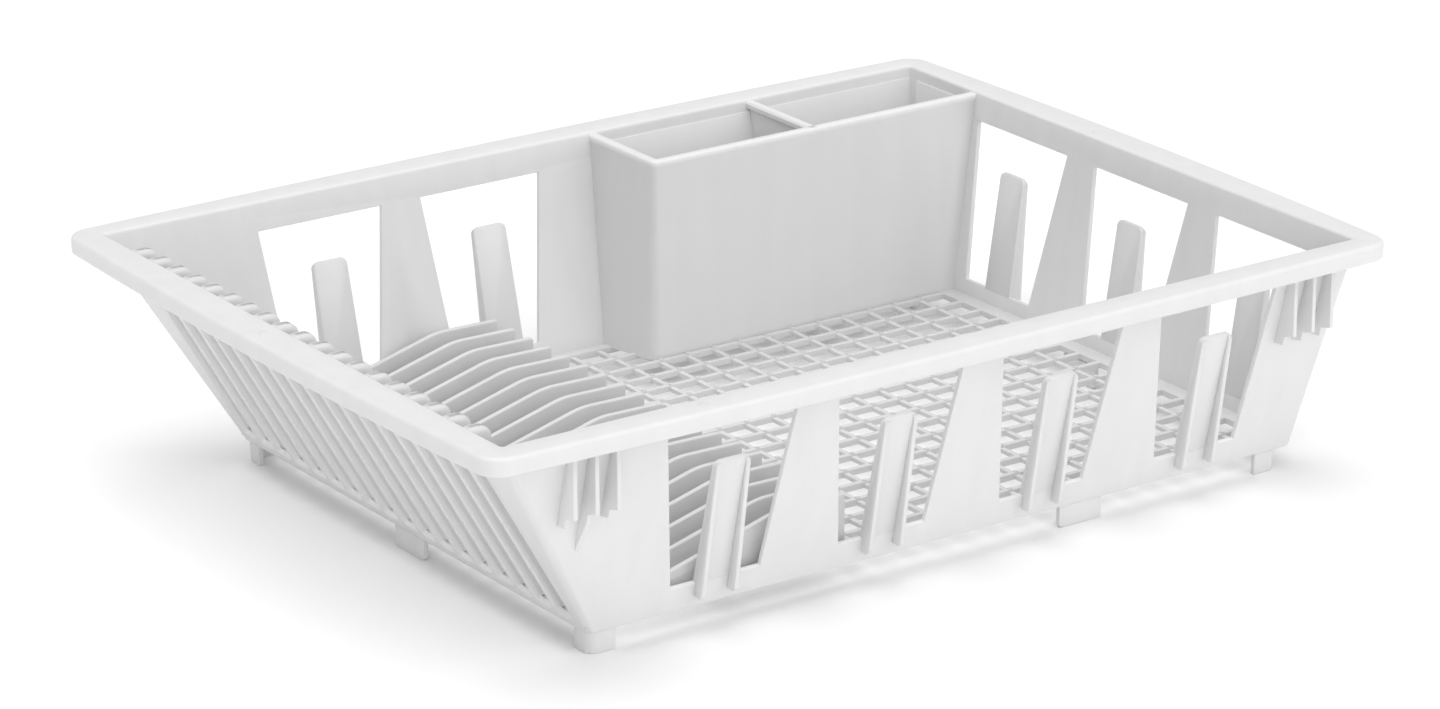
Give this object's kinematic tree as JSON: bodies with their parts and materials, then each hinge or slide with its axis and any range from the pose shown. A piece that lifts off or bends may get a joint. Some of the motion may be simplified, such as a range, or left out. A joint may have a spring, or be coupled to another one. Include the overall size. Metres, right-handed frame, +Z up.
{
  "type": "dish drying rack",
  "caption": "Open moulded basket for drying dishes: upright plate dividers at one end, lattice floor, windowed walls with prongs, cutlery corner, small feet.",
  "frame": {"origin": "on the plane of the foot soles, below the middle of the rim", "axes": "+X along the length, from the plate end to the other end; +Y to the side of the cutlery corner; +Z up"},
  "size_m": [0.473, 0.351, 0.11],
  "materials": {
    "plastic": "satin"
  },
  "bodies": {
    "root": {"caddy_divider": "plastic", "caddy_front": "plastic", "caddy_side": "plastic", "fin_back_1": "plastic", "fin_back_2": "plastic", "fin_back_3": "plastic", "fin_back_4": "plastic", "fin_back_5": "plastic", "fin_back_6": "plastic", "fin_front_1": "plastic", "fin_front_2": "plastic", "fin_front_3": "plastic", "fin_front_4": "plastic", "fin_front_5": "plastic", "fin_front_6": "plastic", "floor_lattice": "plastic", "foot_back_left": "plastic", "foot_back_mid": "plastic", "foot_back_right": "plastic", "foot_front_left": "plastic", "foot_front_mid": "plastic", "foot_front_right": "plastic", "foot_left_mid": "plastic", "foot_right_mid": "plastic", "plate_divider_01": "plastic", "plate_divider_02": "plastic", "plate_divider_03": "plastic", "plate_divider_04": "plastic", "plate_divider_05": "plastic", "plate_divider_06": "plastic", "plate_divider_07": "plastic", "plate_divider_08": "plastic", "plate_divider_09": "plastic", "plate_divider_10": "plastic", "plate_divider_11": "plastic", "plate_divider_12": "plastic", "plate_divider_13": "plastic", "plate_divider_14": "plastic", "plate_divider_15": "plastic", "plate_divider_16": "plastic", "plate_divider_17": "plastic", "plate_divider_18": "plastic", "plate_divider_19": "plastic", "prong_back_1": "plastic", "prong_back_2": "plastic", "prong_front_1": "plastic", "prong_front_2": "plastic", "prong_front_3": "plastic", "prong_front_4": "plastic", "prong_right_1": "plastic", "prong_right_2": "plastic", "prong_right_3": "plastic", "rim": "plastic", "wall_back": "plastic", "wall_front": "plastic", "wall_left": "plastic", "wall_right": "plastic"}
  },
  "joints": []
}
